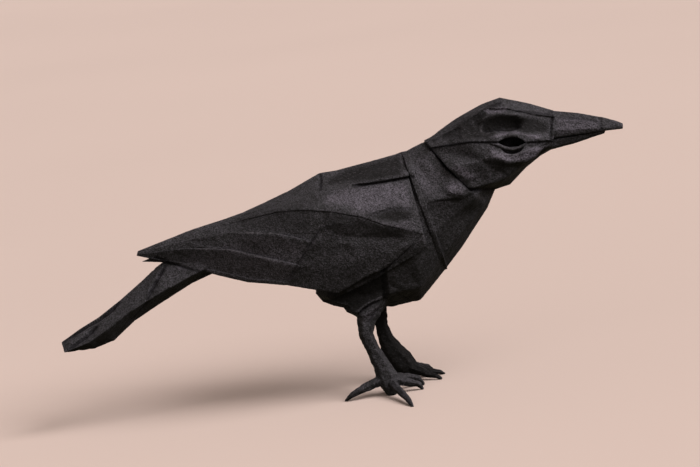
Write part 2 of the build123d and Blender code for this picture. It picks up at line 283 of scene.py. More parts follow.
@dataclass(frozen=True)
class PaintedLightPatch(Drawn):
    """A patch of painted highlight where its amount is above 0, and of painted shade where it is below.

    Args:
        points: its corners as (x, z) in millimetres.
        amount: 1 for full painted highlight to -1 for full painted shade.
        soft: how far in from its edge it is full, in millimetres.
    """

    amount: float = 0.5
    soft: float = 2.0

    def at(self, x: float, z: float) -> float:
        """The patch's strength at (x, z) of the side view, 0 outside it."""
        return self.amount * min(1.0, self.depth_inside(x, z) / self.soft)


# A row holds x and z of the points in turn, in millimetres. A fold line's kind, height, reach, shade and
# groove follow, or a patch's amount and softness, or a dent's depth, slope and lean.
HEAD_FOLDS = FoldLine.table(
    ((66.4, 87.7, 60.8, 88.8, 55.6, 95.4, 51.0, 100.5, 47.6, 106.0, 44.2, 110.7), LAYER, 1.5, 9, 1.0),
    ((75.0, 86.6, 66.4, 87.7), VALLEY, 0.2, 1, 0.9),
    ((45.2, 109.6, 54.0, 110.5, 62.9, 111.1, 75.2, 109.4), VALLEY, 0.2, 1, 0.9),
    ((88.8, 107.1, 94.8, 106.0, 101.3, 105.4), VALLEY, 0.3, 1, 0.9),
    ((72.0, 124.2, 76.0, 124.8, 80.0, 125.6), VALLEY, 0.1, 1, 0.7),
    ((87.0, 121.3, 93.5, 119.4, 102.5, 117.0), VALLEY, 0.1, 1, 0.7),
    ((105.5, 115.1, 112.7, 113.8, 119.5, 112.0, 124.2, 110.7), VALLEY, 0.15, 1, 0.5),
    ((124.4, 106.8, 124.2, 109.0, 124.9, 112.3), VALLEY, 0.2, 1, 0.6),
    ((71.4, 125.2, 74.6, 125.1, 79.3, 124.3, 84.1, 122.6), LAYER, 0.5, 3),
    ((70.7, 111.2, 75.9, 111.8, 81.1, 112.4, 86.5, 111.2, 91.9, 108.9, 97.6, 106.2), MOUNTAIN, 1.0, 2.6),
    ((67.5, 117.5, 72.6, 120.6, 78.6, 121.0, 85.8, 119.5, 91.0, 116.5), MOUNTAIN, 1.5, 5),
    ((69.5, 103.3, 75.9, 99.8, 85.1, 97.8, 92.5, 99.1), MOUNTAIN, 0.8, 5),
    ((103.2, 117.9, 102.7, 115.2, 101.7, 111.4, 100.6, 106.0), LAYER, 0.6, 4, 0.8),
    ((103.6, 114.6, 112.7, 112.8, 119.5, 111.4, 125.4, 109.6), MOUNTAIN, 0.25, 2),
    ((125.5, 107.3, 126.0, 109.5, 126.6, 111.2), LAYER, 0.3, 3),
    ((111.5, 105.9, 113.0, 108.7, 115.2, 110.7), MOUNTAIN, 0.35, 2.5),
    ((53.2, 102.9, 58.4, 100.4, 62.6, 96.9, 64.7, 94.1), MOUNTAIN, 0.6, 3.5),
    ((59.2, 106.7, 66.8, 102.5, 72.5, 98.6), VALLEY, 0.45, 3),
    ((100.9, 106.2, 97.9, 103.7, 95.5, 101.0, 92.8, 98.0), VALLEY, 0.6, 1.4),
    ((60.8, 118.7, 60.7, 115.8, 60.9, 112.6), MOUNTAIN, 0.5, 3),
    ((56.9, 118.7, 57.9, 115.1, 59.2, 112.7), VALLEY, 0.4, 2),
)
NECK_FOLDS = FoldLine.table(
    ((38.6, 85.6, 44.3, 87.1, 49.4, 86.7, 56.7, 86.2, 62.6, 88.5), LAYER, 0.7, 6),
    ((61.2, 89.2, 64.3, 86.7, 69.0, 83.5), VALLEY, 0.5, 2),
    ((43.1, 87.9, 47.2, 90.8, 49.1, 93.9, 50.4, 96.3), LAYER, 0.5, 6),
    ((49.1, 91.4, 52.0, 89.0, 55.9, 87.6, 58.8, 88.2), MOUNTAIN, 0.7, 4),
    ((35.0, 106.3, 35.8, 100.5, 38.8, 92.7, 42.7, 88.4), MOUNTAIN, 0.4, 3),
    ((43.4, 71.4, 44.7, 65.1, 44.4, 56.7), VALLEY, 0.4, 2.5),
    ((17.2, 61.7, 16.3, 51.5, 15.6, 42.7), VALLEY, 0.6, 2),
    ((18.4, 51.7, 23.5, 47.3, 29.2, 41.4), VALLEY, 0.5, 2.5),
)
WING_FOLDS = FoldLine.table(
    ((12.8, 99.5, 21.2, 100.6, 26.9, 101.6, 31.6, 102.5), MOUNTAIN, 0.5, 4),
    ((9.0, 98.4, 13.9, 98.3, 21.6, 98.4, 27.6, 98.6, 33.2, 98.8, 36.0, 98.9), LAYER, 0.9, 5, 1.0),
    ((-5.3, 103.9, -5.2, 101.0, -6.2, 97.9), LAYER, 0.5, 3, 0.8),
    ((-5.3, 97.4, -2.0, 98.6, 1.3, 99.0), MOUNTAIN, 0.4, 2.5),
    ((-5.1, 72.9, -1.7, 74.4, 2.8, 73.9, 6.1, 71.6), MOUNTAIN, 0.5, 3),
    ((20.7, 47.3, 27.7, 40.3), VALLEY, 0.5, 2, 0.6),
    ((12.5, 86.2, 18.0, 86.3, 24.5, 86.9, 33.5, 85.4), MOUNTAIN, 1.2, 5),
    ((13.0, 85.9, 19.0, 86.2, 24.5, 86.9, 33.8, 85.4), LAYER, 0.5, 4, 0.4),
    ((8.3, 55.5, 18.0, 59.9, 25.4, 64.7, 32.0, 69.6), LAYER, 0.6, 5, 0.5),
    ((-46.7, 91.0, -37.4, 93.8, -27.9, 96.0), VALLEY, 0.4, 1.5, 1.0),
    ((6.5, 94.5, 12.9, 91.6, 19.2, 87.8), VALLEY, 0.3, 3),
    ((-7.8, 83.4, -0.3, 78.0, 8.5, 75.9, 17.4, 74.6, 24.1, 73.1, 29.8, 71.7), VALLEY, 1.0, 8),
    ((-9.8, 81.4, -6.4, 83.4, 0.5, 84.2, 5.7, 82.6), MOUNTAIN, 0.5, 2.5),
    ((-8.6, 82.0, -13.2, 76.4, -18.0, 70.4, -21.8, 65.5, -26.1, 58.8), LAYER, 0.6, 5, 0.45),
    ((-13.5, 77.4, -18.3, 79.2, -24.9, 81.0, -31.5, 82.6, -38.3, 83.5, -44.8, 83.6), LAYER, 0.6, 6),
    ((-20.4, 66.7, -26.5, 68.8, -33.1, 70.8, -39.7, 72.8, -46.4, 74.8, -53.1, 76.6, -62.2, 78.3,
     -68.8, 80.9), LAYER, 0.6, 6),
    ((-48.4, 89.2, -39.8, 90.5, -30.4, 91.6, -21.2, 91.8), MOUNTAIN, 0.4, 3),
    ((-68.8, 81.2, -61.9, 80.6, -55.8, 80.5), VALLEY, 0.3, 2.5),
    ((-86.0, 75.5, -83.7, 74.3, -75.9, 70.6, -66.0, 66.9), VALLEY, 0.4, 1.1, 0.8),
    ((31.5, 70.5, 26.7, 68.9, 22.8, 66.2), MOUNTAIN, 0.4, 3),
    ((-0.5, 39.0, 3.5, 40.0, 6.1, 41.8, 10.0, 43.6, 16.4, 45.0), LAYER, 0.9, 4, 1.0),
    ((3.9, 36.4, 7.7, 39.3, 12.6, 41.6), MOUNTAIN, 0.5, 1.8),
    ((9.6, 32.6, 12.6, 36.3, 14.9, 40.2), MOUNTAIN, 0.4, 1.6),
    ((6.9, 33.5, 9.5, 37.5, 13.6, 41.0), VALLEY, 0.4, 1.4, 0.5),
)
TAIL_FOLDS = FoldLine.table(
    ((-91.7, 58.4, -89.6, 61.3, -85.8, 66.1, -82.0, 71.0), LAYER, 0.8, 5, 1.0, 1.0),
    ((-131.0, 39.0, -129.2, 40.3, -122.3, 43.8, -116.7, 47.6), LAYER, 0.8, 5, 1.0, 1.0),
    ((-133.0, 41.9, -129.2, 43.7, -122.7, 46.6, -115.2, 50.2, -109.0, 53.7, -105.4, 56.5), VALLEY, 0.6,
     1.4, 1.0, 1.0),
    ((-102.6, 46.6, -95.7, 52.6, -90.3, 57.0), VALLEY, 0.5, 2, 0.5),
)
IRONED = FoldLine.table(((44.0, 111.6, 52.0, 114.6, 60.0, 117.6, 66.0, 120.8),))
# Patches of painted highlight (amount above 0) and painted shade (amount below 0).
PAINTED_LIGHT_PATCHES = PaintedLightPatch.table(
    ((46.8, 112.4, 53.7, 116.1, 61.6, 120.6, 71.4, 123.9, 87.9, 119.7, 101.2, 114.6, 99.6, 106.3,
     87.8, 110.0, 83.1, 112.6, 75.9, 112.0, 71.2, 110.9, 59.1, 111.9), -0.8, 1.5),
    ((69.3, 116.2, 72.6, 119.7, 78.6, 120.0, 85.8, 118.3, 88.8, 116.0, 88.8, 113.4, 85.7, 112.4,
     77.4, 112.6, 70.3, 114.0), -0.5, 1.2),
    ((71.0, 124.6, 82.1, 124.1, 82.7, 121.9, 73.4, 121.4), 1.9, 0.8),
    ((71.5, 111.6, 76.0, 113.4, 83.0, 114.0, 90.0, 111.2, 99.0, 109.5, 100.5, 107.4, 92.0, 107.8,
     87.5, 110.6, 83.0, 111.7, 76.5, 111.2), 1.6, 0.8),
    ((56.6, 118.0, 59.4, 118.7, 60.9, 113.8, 58.1, 113.5), 0.9, 1.2),
    ((64.1, 120.4, 66.8, 120.6, 68.4, 117.3, 65.4, 116.3), 0.8, 1.2),
    ((4.8, 98.0, 20.8, 98.0, 33.5, 97.6, 33.9, 89.0, 33.1, 83.0, 27.4, 87.3, 16.2, 86.2, 10.7, 85.9,
     3.7, 90.9, -6.5, 92.4, -4.0, 96.9), 0.7, 2.0),
    ((11.5, 85.4, 18.9, 82.8, 23.7, 81.6, 33.1, 83.0, 34.2, 77.5, 31.9, 73.8, 23.3, 78.1), 0.3, 1.5),
    ((14.0, 85.4, 24.4, 86.7, 33.6, 85.0, 33.6, 80.0, 23.8, 80.5, 18.0, 82.4), -0.9, 1.4),
    ((-3.3, 101.9, 5.8, 104.6, 31.6, 108.0, 32.5, 102.4, 31.1, 99.2, 21.0, 99.0, 5.0, 99.1, -3.8, 98.4),
     -0.9, 1.5),
    ((70.7, 107.9, 76.3, 105.6, 81.7, 103.4, 87.3, 103.9, 92.3, 104.8, 99.5, 103.9, 93.0, 99.5, 85.2, 98.5,
     78.1, 99.9, 71.5, 103.3), 1.2, 1.5),
    ((37.3, 106.4, 43.4, 108.0, 46.3, 103.5, 50.3, 96.1, 46.2, 90.5, 40.3, 87.8, 38.3, 92.5, 36.7, 100.4),
     0.35, 2.0),
    ((49.9, 93.5, 52.3, 94.9, 55.9, 94.3, 59.5, 89.9, 56.0, 87.5, 50.6, 89.0), 0.9, 1.0),
    ((53.0, 101.2, 58.4, 101.2, 64.6, 94.8, 61.3, 93.7, 56.0, 97.2), 1.0, 1.0),
    ((104.0, 115.8, 113.0, 114.7, 124.2, 111.3, 123.6, 107.3, 112.0, 107.3, 103.6, 107.0), 0.8, 1.5),
    ((-14.4, 46.0, -1.7, 49.5, 6.3, 52.5, 19.0, 61.1, 18.9, 45.5, 14.0, 45.8, 8.5, 44.1, 3.4, 41.3,
     -1.2, 38.5, -6.4, 42.1), -3.0, 1.5),
    ((2.2, 36.2, 6.4, 40.2, 13.5, 43.0, 14.6, 40.6, 10.6, 36.0, 6.0, 33.0), 0.5, 1.0),
    ((-5.0, 97.0, -30.0, 94.5, -48.0, 89.0, -70.0, 81.0, -98.0, 67.5, -80.0, 73.5, -60.0, 79.5,
     -44.8, 83.6, -31.5, 83.0, -14.0, 79.0), -0.3, 3.0),
    ((-13.5, 77.0, -31.5, 82.0, -44.8, 83.0, -62.0, 78.0, -90.0, 67.5, -66.0, 66.5, -45.0, 60.5,
     -26.0, 58.0, -19.0, 68.0), 0.3, 3.0),
    ((-6.7, 91.3, 3.2, 90.6, 11.5, 85.4, 20.2, 79.5, 30.9, 73.0, 21.9, 73.9, 11.7, 80.2, 2.5, 82.3,
     -4.4, 81.3, -8.1, 80.8), -0.5, 1.5),
    ((-134.0, 42.5, -129.2, 46.0, -115.2, 52.5, -100.0, 61.5, -104.0, 57.0, -115.2, 50.0, -129.2, 43.4),
     -1.0, 0.6),
)
DENTS = Dent.table(
    ((69.3, 116.2, 72.6, 120.0, 78.6, 120.6, 85.8, 119.0, 88.8, 116.0, 88.6, 113.9, 85.7, 113.4,
     77.4, 113.6, 70.3, 114.2), 3.6, 1.0, 1.0),
    ((70.7, 108.2, 76.3, 105.3, 81.7, 103.0, 87.3, 103.6, 92.3, 105.0, 98.6, 104.2, 92.5, 98.2, 85.2, 97.2,
     78.1, 98.4, 70.4, 102.9), -3.0, 3.0, 1.0),
    ((49.6, 93.5, 52.3, 94.9, 56.0, 94.3, 59.5, 89.9, 56.0, 87.5, 50.4, 89.0), -1.1, 1.2, 1.0),
    ((52.9, 101.2, 58.4, 101.3, 64.6, 94.8, 61.3, 93.6, 56.0, 97.0), -1.1, 1.2, 1.0),
    ((73.4, 124.6, 82.3, 122.6, 81.1, 120.6, 74.6, 121.4), 1.0, 0.6, -1.0),
    ((46.8, 112.4, 53.7, 116.1, 61.6, 120.4, 71.4, 123.0, 87.9, 119.0, 100.5, 114.0, 99.6, 108.5,
     90.0, 111.0, 86.5, 113.5, 81.1, 114.6, 75.9, 114.2, 70.7, 113.4, 59.1, 113.0), 0.9, 1.5, 1.0),
    ((-14.4, 46.5, -1.7, 50.0, 6.3, 53.0, 18.0, 60.0, 18.0, 46.5, 14.0, 46.2, 8.5, 44.6, 3.4, 42.0,
     -1.2, 40.0, -6.4, 43.0), 1.6, 2.0, 0.3),
)


@dataclass(frozen=True)
class BlackPaper:
    """Handmade black paper: short tangled fibres, a mottled grain, crushed facets and a soft gloss.

    Args:
        deep: the darkest dye, also the colour of the painted shade on sheltered places and in the shade
            patches.
        dyed: the common tone.
        dust_and_top_light: pale flecks that settle on what lies open to above, which also paint the upward
            faces lighter.
        wear_and_highlight: the colour of the painted highlight patches.
        worn: fold edges and loose fibres.
        crease_shade: painted shade at the bottom of a sharp fold.
        roughness: the paper's middle roughness.
        grain_per_m: grains a metre.
        fleck_per_m: flecks a metre.
        mottle_per_m: patches of the mottling a metre.
        cloud_per_m: clouds of the dye a metre.
        crinkle_per_m: small crushed facets a metre.
        hairs: long fibres a metre and the angles at which they lie, for each layer of them.
        hair_edge: noise values where a long fibre begins and where it is full.
        relief: depth of the surface's relief, in metres.
        specular: how much it shines.
        sheen: how much its fuzz catches light.
    """

    deep: Triple = (0.004, 0.004, 0.0025)
    dyed: Triple = (0.028, 0.0285, 0.028)
    dust_and_top_light: Triple = (0.100, 0.090, 0.104)
    wear_and_highlight: Triple = (0.140, 0.124, 0.146)
    worn: Triple = (0.105, 0.095, 0.100)
    crease_shade: Triple = (0.002, 0.002, 0.002)
    roughness: float = 0.48
    grain_per_m: float = 1500.0
    fleck_per_m: float = 2600.0
    mottle_per_m: float = 560.0
    cloud_per_m: float = 55.0
    crinkle_per_m: float = 190.0
    hairs: tuple[tuple[float, Triple], ...] = ((620.0, (0.4, 0.9, 0.2)), (760.0, (1.3, -0.5, 0.8)))
    hair_edge: Point = (0.66, 0.72)
    relief: float = 0.5 * MM
    specular: float = 0.17
    sheen: float = 0.03

    def material(self, name: str) -> bpy.types.Material:
        """The paper as a node material.

        Args:
            name: the material's name.

        Returns:
            The finished material.
        """
        mat = bpy.data.materials.new(name)
        mat.use_nodes = True
        tree = mat.node_tree
        tree.nodes.clear()
        kit = NodeKit(tree)
        place = kit.add("ShaderNodeTexCoord").outputs["Object"]
        grain = kit.noise(place, self.grain_per_m, 2.0, 0.6)
        mottle = kit.noise(place, self.mottle_per_m, 3.0, 0.6)
        cloud = kit.noise(place, self.cloud_per_m, 3.0, 0.6)
        crinkle = kit.crinkle(place, self.crinkle_per_m, 0.004)
        crush = kit.crinkle(place, self.crinkle_per_m * 0.42, 0.009)
        strands = [kit.hairs(place, *way, *self.hair_edge) for way in self.hairs]
        hairs = reduce(partial(kit.math, "MAXIMUM"), strands)
        dust_and_shade, fold, painted_light = kit.stored("dust_and_shade"), kit.stored("fold"), kit.stored("painted_light")
        # painted shade: places that are sheltered or face down take the darkest dye colour
        base = kit.mix(kit.between(dust_and_shade, 0.02, 0.42), self.deep, self.dyed)
        flecks = kit.flecks(place, self.fleck_per_m)
        speck = kit.total((grain, 0.35), (mottle, 0.25), (flecks, 0.4))
        # pale flecks where open to above, which also paint the upward faces lighter
        light = kit.times(kit.between(speck, 0.5, 0.72), kit.between(dust_and_shade, 0.0, 0.3))
        base = kit.mix(kit.times(light, 0.66), base, self.dust_and_top_light)
        # painted highlight and painted shade from the drawn patches
        pale, painted_shade = kit.between(painted_light, 0.0, 1.0), kit.between(painted_light, 0.0, -1.0)
        base = kit.mix(kit.times(pale, kit.between(speck, 0.2, 0.75)), base, self.wear_and_highlight)
        base = kit.mix(kit.times(painted_shade, 0.9), base, self.deep)
        dark = kit.times(kit.between(speck, 0.5, 0.3), 0.7)
        base = kit.mix(dark, base, self.deep)
        base = kit.mix(kit.times(kit.between(cloud, 0.6, 0.4), 0.3), base, self.deep)
        base = kit.mix(kit.times(kit.times(hairs, 0.5), dust_and_shade), base, self.worn)
        wear_and_highlight = kit.times(kit.between(fold, 0.56, 0.95), kit.between(mottle, 0.38, 0.6))
        base = kit.mix(kit.times(wear_and_highlight, kit.between(dust_and_shade, 0.0, 0.7)), base, self.worn)
        # painted shade in hollow folds and along the shaded fold lines
        crease_shade = kit.between(fold, 0.45, 0.15)
        base = kit.mix(kit.times(crease_shade, 0.75), base, self.crease_shade)
        height = kit.total((grain, 0.9), (hairs, 0.15), (mottle, 0.95), (crinkle, 1.3), (crush, 2.2))
        bump = kit.add("ShaderNodeBump")
        bump.inputs["Strength"].default_value = 1.0
        bump.inputs["Distance"].default_value = self.relief
        tree.links.new(height, bump.inputs["Height"])
        shader = kit.add("ShaderNodeBsdfPrincipled")
        tree.links.new(base, shader.inputs["Base Color"])
        rough = kit.between(grain, 0.0, 1.0, self.roughness - 0.08, self.roughness + 0.12)
        rough = kit.math("ADD", rough, kit.times(painted_shade, 0.35))
        tree.links.new(rough, shader.inputs["Roughness"])
        tree.links.new(bump.outputs["Normal"], shader.inputs["Normal"])
        shader.inputs["Specular IOR Level"].default_value = self.specular
        shader.inputs["Specular Tint"].default_value = (1.0, 0.90, 1.0, 1.0)
        shader.inputs["Sheen Weight"].default_value = self.sheen
        shader.inputs["Sheen Roughness"].default_value = 0.4
        shader.inputs["Sheen Tint"].default_value = (0.9, 0.82, 0.95, 1.0)
        out = kit.add("ShaderNodeOutputMaterial")
        tree.links.new(shader.outputs["BSDF"], out.inputs["Surface"])
        return mat


@dataclass
class NodeKit:
    """Short calls that add the nodes of one material.

    Args:
        tree: the material's node tree.
    """

    tree: bpy.types.NodeTree

    def add(self, kind: str, **values: object) -> bpy.types.Node:
        """A new node with these settings.

        Args:
            kind: the node's type.
            values: settings by name.

        Returns:
            The node.
        """
        node = self.tree.nodes.new(kind)
        for key, value in values.items():
            setattr(node, key, value)
        return node

    def plug(self, value: object, socket: Socket) -> None:
        """Links a socket, or sets a plain value.

        Args:
            value: an output socket, a number or a colour.
            socket: the input.
        """
        if isinstance(value, Socket):
            self.tree.links.new(value, socket)
        elif isinstance(value, tuple):
            socket.default_value = (*value, 1.0)
        else:
            socket.default_value = value

    def math(self, operation: str, a: object, b: object) -> Socket:
        """One sum of two values.

        Args:
            operation: the sum's name.
            a: first value.
            b: second value.

        Returns:
            The result's socket.
        """
        node = self.add("ShaderNodeMath", operation=operation)
        self.plug(a, node.inputs[0])
        self.plug(b, node.inputs[1])
        return node.outputs[0]

    def times(self, a: object, b: object) -> Socket:
        """The product of two values."""
        return self.math("MULTIPLY", a, b)

    def total(self, *terms: tuple[Socket, float]) -> Socket:
        """The sum of some values, each times its weight.

        Args:
            terms: each value with its weight.

        Returns:
            The sum's socket.
        """
        parts = [self.times(value, weight) for value, weight in terms]
        return reduce(partial(self.math, "ADD"), parts)

    def stored(self, name: str) -> Socket:
        """What the mesh stores under this name."""
        return self.add("ShaderNodeAttribute", attribute_name=name).outputs["Fac"]

    def between(
        self, value: Socket, low: float, high: float, first: float = 0.0, last: float = 1.0
    ) -> Socket:
        """A value spread from one range to another, and held to its ends.

        Args:
            value: the input.
            low: value that gives first.
            high: value that gives last.
            first: result at low.
            last: result at high.

        Returns:
            The result's socket.
        """
        node = self.add("ShaderNodeMapRange", clamp=True)
        self.plug(value, node.inputs["Value"])
        for socket, number in zip(("From Min", "From Max", "To Min", "To Max"), (low, high, first, last)):
            node.inputs[socket].default_value = number
        return node.outputs["Result"]

    def mix(self, share: object, a: object, b: object) -> Socket:
        """Colour from a to b.

        Args:
            share: 0 for a, 1 for b.
            a: first colour.
            b: second colour.

        Returns:
            The result's socket.
        """
        node = self.add("ShaderNodeMix", data_type="RGBA")
        self.plug(share, node.inputs["Factor"])
        self.plug(a, node.inputs["A"])
        self.plug(b, node.inputs["B"])
        return node.outputs["Result"]

    def noise(
        self, place: Socket, scale: float, detail: float, rough: float
    ) -> Socket:
        """Soft noise of 0 to 1.

        Args:
            place: coordinates.
            scale: how many grains a metre.
            detail: how many finer layers.
            rough: how strong the finer layers are.

        Returns:
            The noise's socket.
        """
        node = self.add("ShaderNodeTexNoise")
        self.plug(place, node.inputs["Vector"])
        node.inputs["Scale"].default_value = scale
        node.inputs["Detail"].default_value = detail
        node.inputs["Roughness"].default_value = rough
        return node.outputs["Fac"]

    def crinkle(self, place: Socket, scale: float, warp: float) -> Socket:
        """Small facets that crushed paper keeps.

        Args:
            place: coordinates.
            scale: how many facets a metre.
            warp: how far their edges wander, in metres.

        Returns:
            The height's socket, 0 to 1.
        """
        wander = self.add("ShaderNodeTexNoise")
        self.plug(place, wander.inputs["Vector"])
        wander.inputs["Scale"].default_value = scale * 0.6
        bend = self.add("ShaderNodeVectorMath", operation="MULTIPLY_ADD")
        self.plug(wander.outputs["Color"], bend.inputs[0])
        bend.inputs[1].default_value = (warp, warp, warp)
        self.plug(place, bend.inputs[2])
        turned = self.add("ShaderNodeMapping")
        self.plug(bend.outputs[0], turned.inputs["Vector"])
        turned.inputs["Rotation"].default_value = (0.6, 0.4, 0.9)
        cells = self.add("ShaderNodeTexVoronoi", feature="F1", distance="CHEBYCHEV")
        self.plug(turned.outputs["Vector"], cells.inputs["Vector"])
        cells.inputs["Scale"].default_value = scale
        return cells.outputs["Distance"]

    def flecks(self, place: Socket, scale: float) -> Socket:
        """Specks of chopped fibre, each with a tone of its own.

        Args:
            place: coordinates.
            scale: how many specks a metre.

        Returns:
            The specks' tone, 0 to 1.
        """
        cells = self.add("ShaderNodeTexVoronoi", feature="F1")
        self.plug(place, cells.inputs["Vector"])
        cells.inputs["Scale"].default_value = scale
        cells.inputs["Randomness"].default_value = 1.0
        split = self.add("ShaderNodeSeparateColor")
        self.plug(cells.outputs["Color"], split.inputs[0])
        return split.outputs[0]

    def hairs(
        self, place: Socket, scale: float, turn: Triple, low: float, high: float
    ) -> Socket:
        """Long thin fibres that lie one way.

        Args:
            place: coordinates.
            scale: how many fibres a metre, along them.
            turn: which way they lie, as angles.
            low: noise value where a fibre begins.
            high: noise value where it is full.

        Returns:
            The fibres' mask, 0 to 1.
        """
        turned = self.add("ShaderNodeMapping")
        self.plug(place, turned.inputs["Vector"])
        turned.inputs["Rotation"].default_value = turn
        turned.inputs["Scale"].default_value = (1.0, 4.0, 4.0)
        strands = self.noise(turned.outputs["Vector"], scale, 1.0, 0.5)
        return self.between(strands, low, high)


@dataclass
class FoldedSheet:
    """The whole folded bird, one sheet of paper, with its folds softened and its panels buckled.

    Args:
        node: the CAD node that it stands for.
        bm: the mesh that it is made in.
        folds: fold lines drawn on the side view.
        dents: hollows and swellings drawn on it.
        painted_light_patches: patches of painted highlight and painted shade drawn on it.
        ironed: layer edges that are ironed nearly flat.
        iron_reach: how far from such an edge the ironing goes, in millimetres.
        iron_rounds: how often it is done.
        keen: spacing of the mesh along the sharpest drawn folds, in metres.
        fine: spacing along the other folds.
        coarse: spacing in the middle of a panel.
        growth: how much the spacing grows with each metre away from a fold.
        slack: how much longer than its spacing an edge may be.
        cut_rounds: how often the mesh is cut.
        sharp: least bend that counts as a fold, in radians.
        mark_step: spacing of the places that mark a fold, in millimetres.
        round_passes: how often creases are smoothed.
        most: how far that may move a place, in metres.
        neck_x: where the unseen inner skin of the head begins to be drawn in.
        crown_x: where it is drawn in fully.
        drawn_in: the share of its width that it loses there.
        least_side: how sideways a face has to look for a drawn shape to show on it, 0 to 1.
        full_side: how sideways for its full height.
        leg_top: height where the legs begin, in metres.
        foot_top: height where the feet end.
        bark: height of the crumples on the legs.
        slim: how far the shanks are drawn in.
        leg_painted_shade: how much shade is painted on the legs all over.
        inner_leg_painted_shade: how much more shade is painted where the legs face each other, under the
            body.
        lid: place of the upper lids as x, half length, lower and upper height, in metres.
        lid_drop: how far the upper lids hang down.
        ripple: size in metres and rate of each layer of the panels' buckling.
        seed: fixes the buckling's pattern, so that each run gives the same bird.
        shelter_reach: how near a covering layer counts as sheltering a place from above, in metres.
    """

    node: str = "crow"
    bm: bmesh.types.BMesh = field(default_factory=bmesh.new)
    folds: tuple[FoldLine, ...] = HEAD_FOLDS + NECK_FOLDS + WING_FOLDS + TAIL_FOLDS
    dents: tuple[Dent, ...] = DENTS
    painted_light_patches: tuple[PaintedLightPatch, ...] = PAINTED_LIGHT_PATCHES
    ironed: tuple[FoldLine, ...] = IRONED
    iron_reach: float = 1.8
    iron_rounds: int = 30
    keen: float = 0.42 * MM
    fine: float = 0.66 * MM
    coarse: float = 2.0 * MM
    growth: float = 0.6
    slack: float = 1.4
    cut_rounds: int = 9
    sharp: float = math.radians(16)
    mark_step: float = 0.8
    round_passes: int = 3
    most: float = 0.18 * MM
    neck_x: float = 46 * MM
    crown_x: float = 60 * MM
    drawn_in: float = 0.4
    least_side: float = 0.15
    full_side: float = 0.5
    leg_top: float = 42 * MM
    foot_top: float = 12 * MM
    bark: float = 0.24 * MM
    slim: float = 0.7 * MM
    leg_painted_shade: float = 0.25
    inner_leg_painted_shade: float = 1.2
    lid: tuple[float, float, float, float] = (82.9 * MM, 7.2 * MM, 110.0 * MM, 116.0 * MM)
    lid_drop: float = 0.8 * MM
    ripple: tuple[tuple[float, float], ...] = ((0.4 * MM, 40.0), (0.17 * MM, 110.0), (0.06 * MM, 300.0))
    seed: int = 12
    shelter_reach: float = 30 * MM

    def build(self, paper: bpy.types.Material) -> bpy.types.Object:
        """Makes the sheet's mesh and dresses it.

        Args:
            paper: its material.

        Returns:
            The finished object.
        """
        self.bm.from_mesh(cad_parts[self.node].data)
        bmesh.ops.remove_doubles(self.bm, verts=self.bm.verts, dist=0.01 * MM)
        self.mark_inside()
        self.refine()
        self.round_folds()
        self.iron_flat()
        self.press_folds()
        self.slim_legs()
        self.lower_lids()
        self.buckle()
        self.store_folds()
        self.store_dust_and_shade()
        return finished(self.bm, "crow_paper", paper, self.node)

    def mark_inside(self) -> None:
        """Marks the hollow's faces that nobody sees, and draws the head's in, clear of the dents."""
        inside = self.bm.faces.layers.int.new("inside")
        tree = BVHTree.FromBMesh(self.bm)
        steps = product((-1, 0, 1), repeat=3)
        ways = [Vector(step).normalized() for step in steps if any(step)]
        for face in self.bm.faces:
            start = face.calc_center_median() + face.normal * 0.02 * MM
            seen = [w for w in ways if w.dot(face.normal) > 0.05 and tree.ray_cast(start, w)[0] is None]
            face[inside] = 0 if seen else 1
        for vert in self.bm.verts:
            if unseen(vert, inside):
                share = share_between(vert.co.x, self.neck_x, self.crown_x)
                vert.co.y = MIDDLE_Y + (vert.co.y - MIDDLE_Y) * (1 - self.drawn_in * share)

    def refine(self) -> None:
        """Cuts the mesh finer, most of all along the folds."""
        inside = self.bm.faces.layers.int["inside"]
        tree, plain = self.fold_places()
        for _ in range(self.cut_rounds):
            cuts = []
            for edge in self.bm.edges:
                length = edge.calc_length()
                if length < self.keen * self.slack or unseen(edge, inside):
                    continue
                middle = (edge.verts[0].co + edge.verts[1].co) / 2
                _, index, gap = tree.find(middle)
                target = min(self.coarse, (self.fine if index < plain else self.keen) + self.growth * gap)
                if middle.z < self.leg_top:
                    target = min(target, self.fine)
                if length > self.slack * target:
                    cuts.append(edge)
            if not cuts:
                break
            bmesh.ops.subdivide_edges(self.bm, edges=cuts, cuts=1, use_grid_fill=False)
            bmesh.ops.triangulate(self.bm, faces=[f for f in self.bm.faces if len(f.verts) > 3])
        log.info("sheet refined: %d faces", len(self.bm.faces))

    def fold_places(self) -> tuple[KDTree, int]:
        """Places along every fold, those of the sharpest drawn folds last.

        Returns:
            The places, and the number of the first that belongs to a sharpest fold.
        """
        inside = self.bm.faces.layers.int["inside"]
        paper = BVHTree.FromBMesh(self.bm)
        marks = []
        for edge in self.bm.edges:
            if len(edge.link_faces) != 2 or unseen(edge, inside):
                continue
            if abs(edge.calc_face_angle(0.0)) < self.sharp:
                continue
            a, b = edge.verts[0].co, edge.verts[1].co
            count = max(1, int((b - a).length / (self.mark_step * MM)))
            marks += [a.lerp(b, i / count) for i in range(count + 1)]
        plain = len(marks)
        for line in sorted(self.folds, key=lambda drawn: drawn.shade > 0):
            for start, end in zip(line.points, line.points[1:]):
                count = max(1, int(math.hypot(end[0] - start[0], end[1] - start[1]) / self.mark_step))
                marks += self.on_paper(paper, start, end, count)
            plain = plain if line.shade else len(marks)
        tree = KDTree(len(marks))
        for i, mark in enumerate(marks):
            tree.insert(mark, i)
        tree.balance()
        return tree, plain

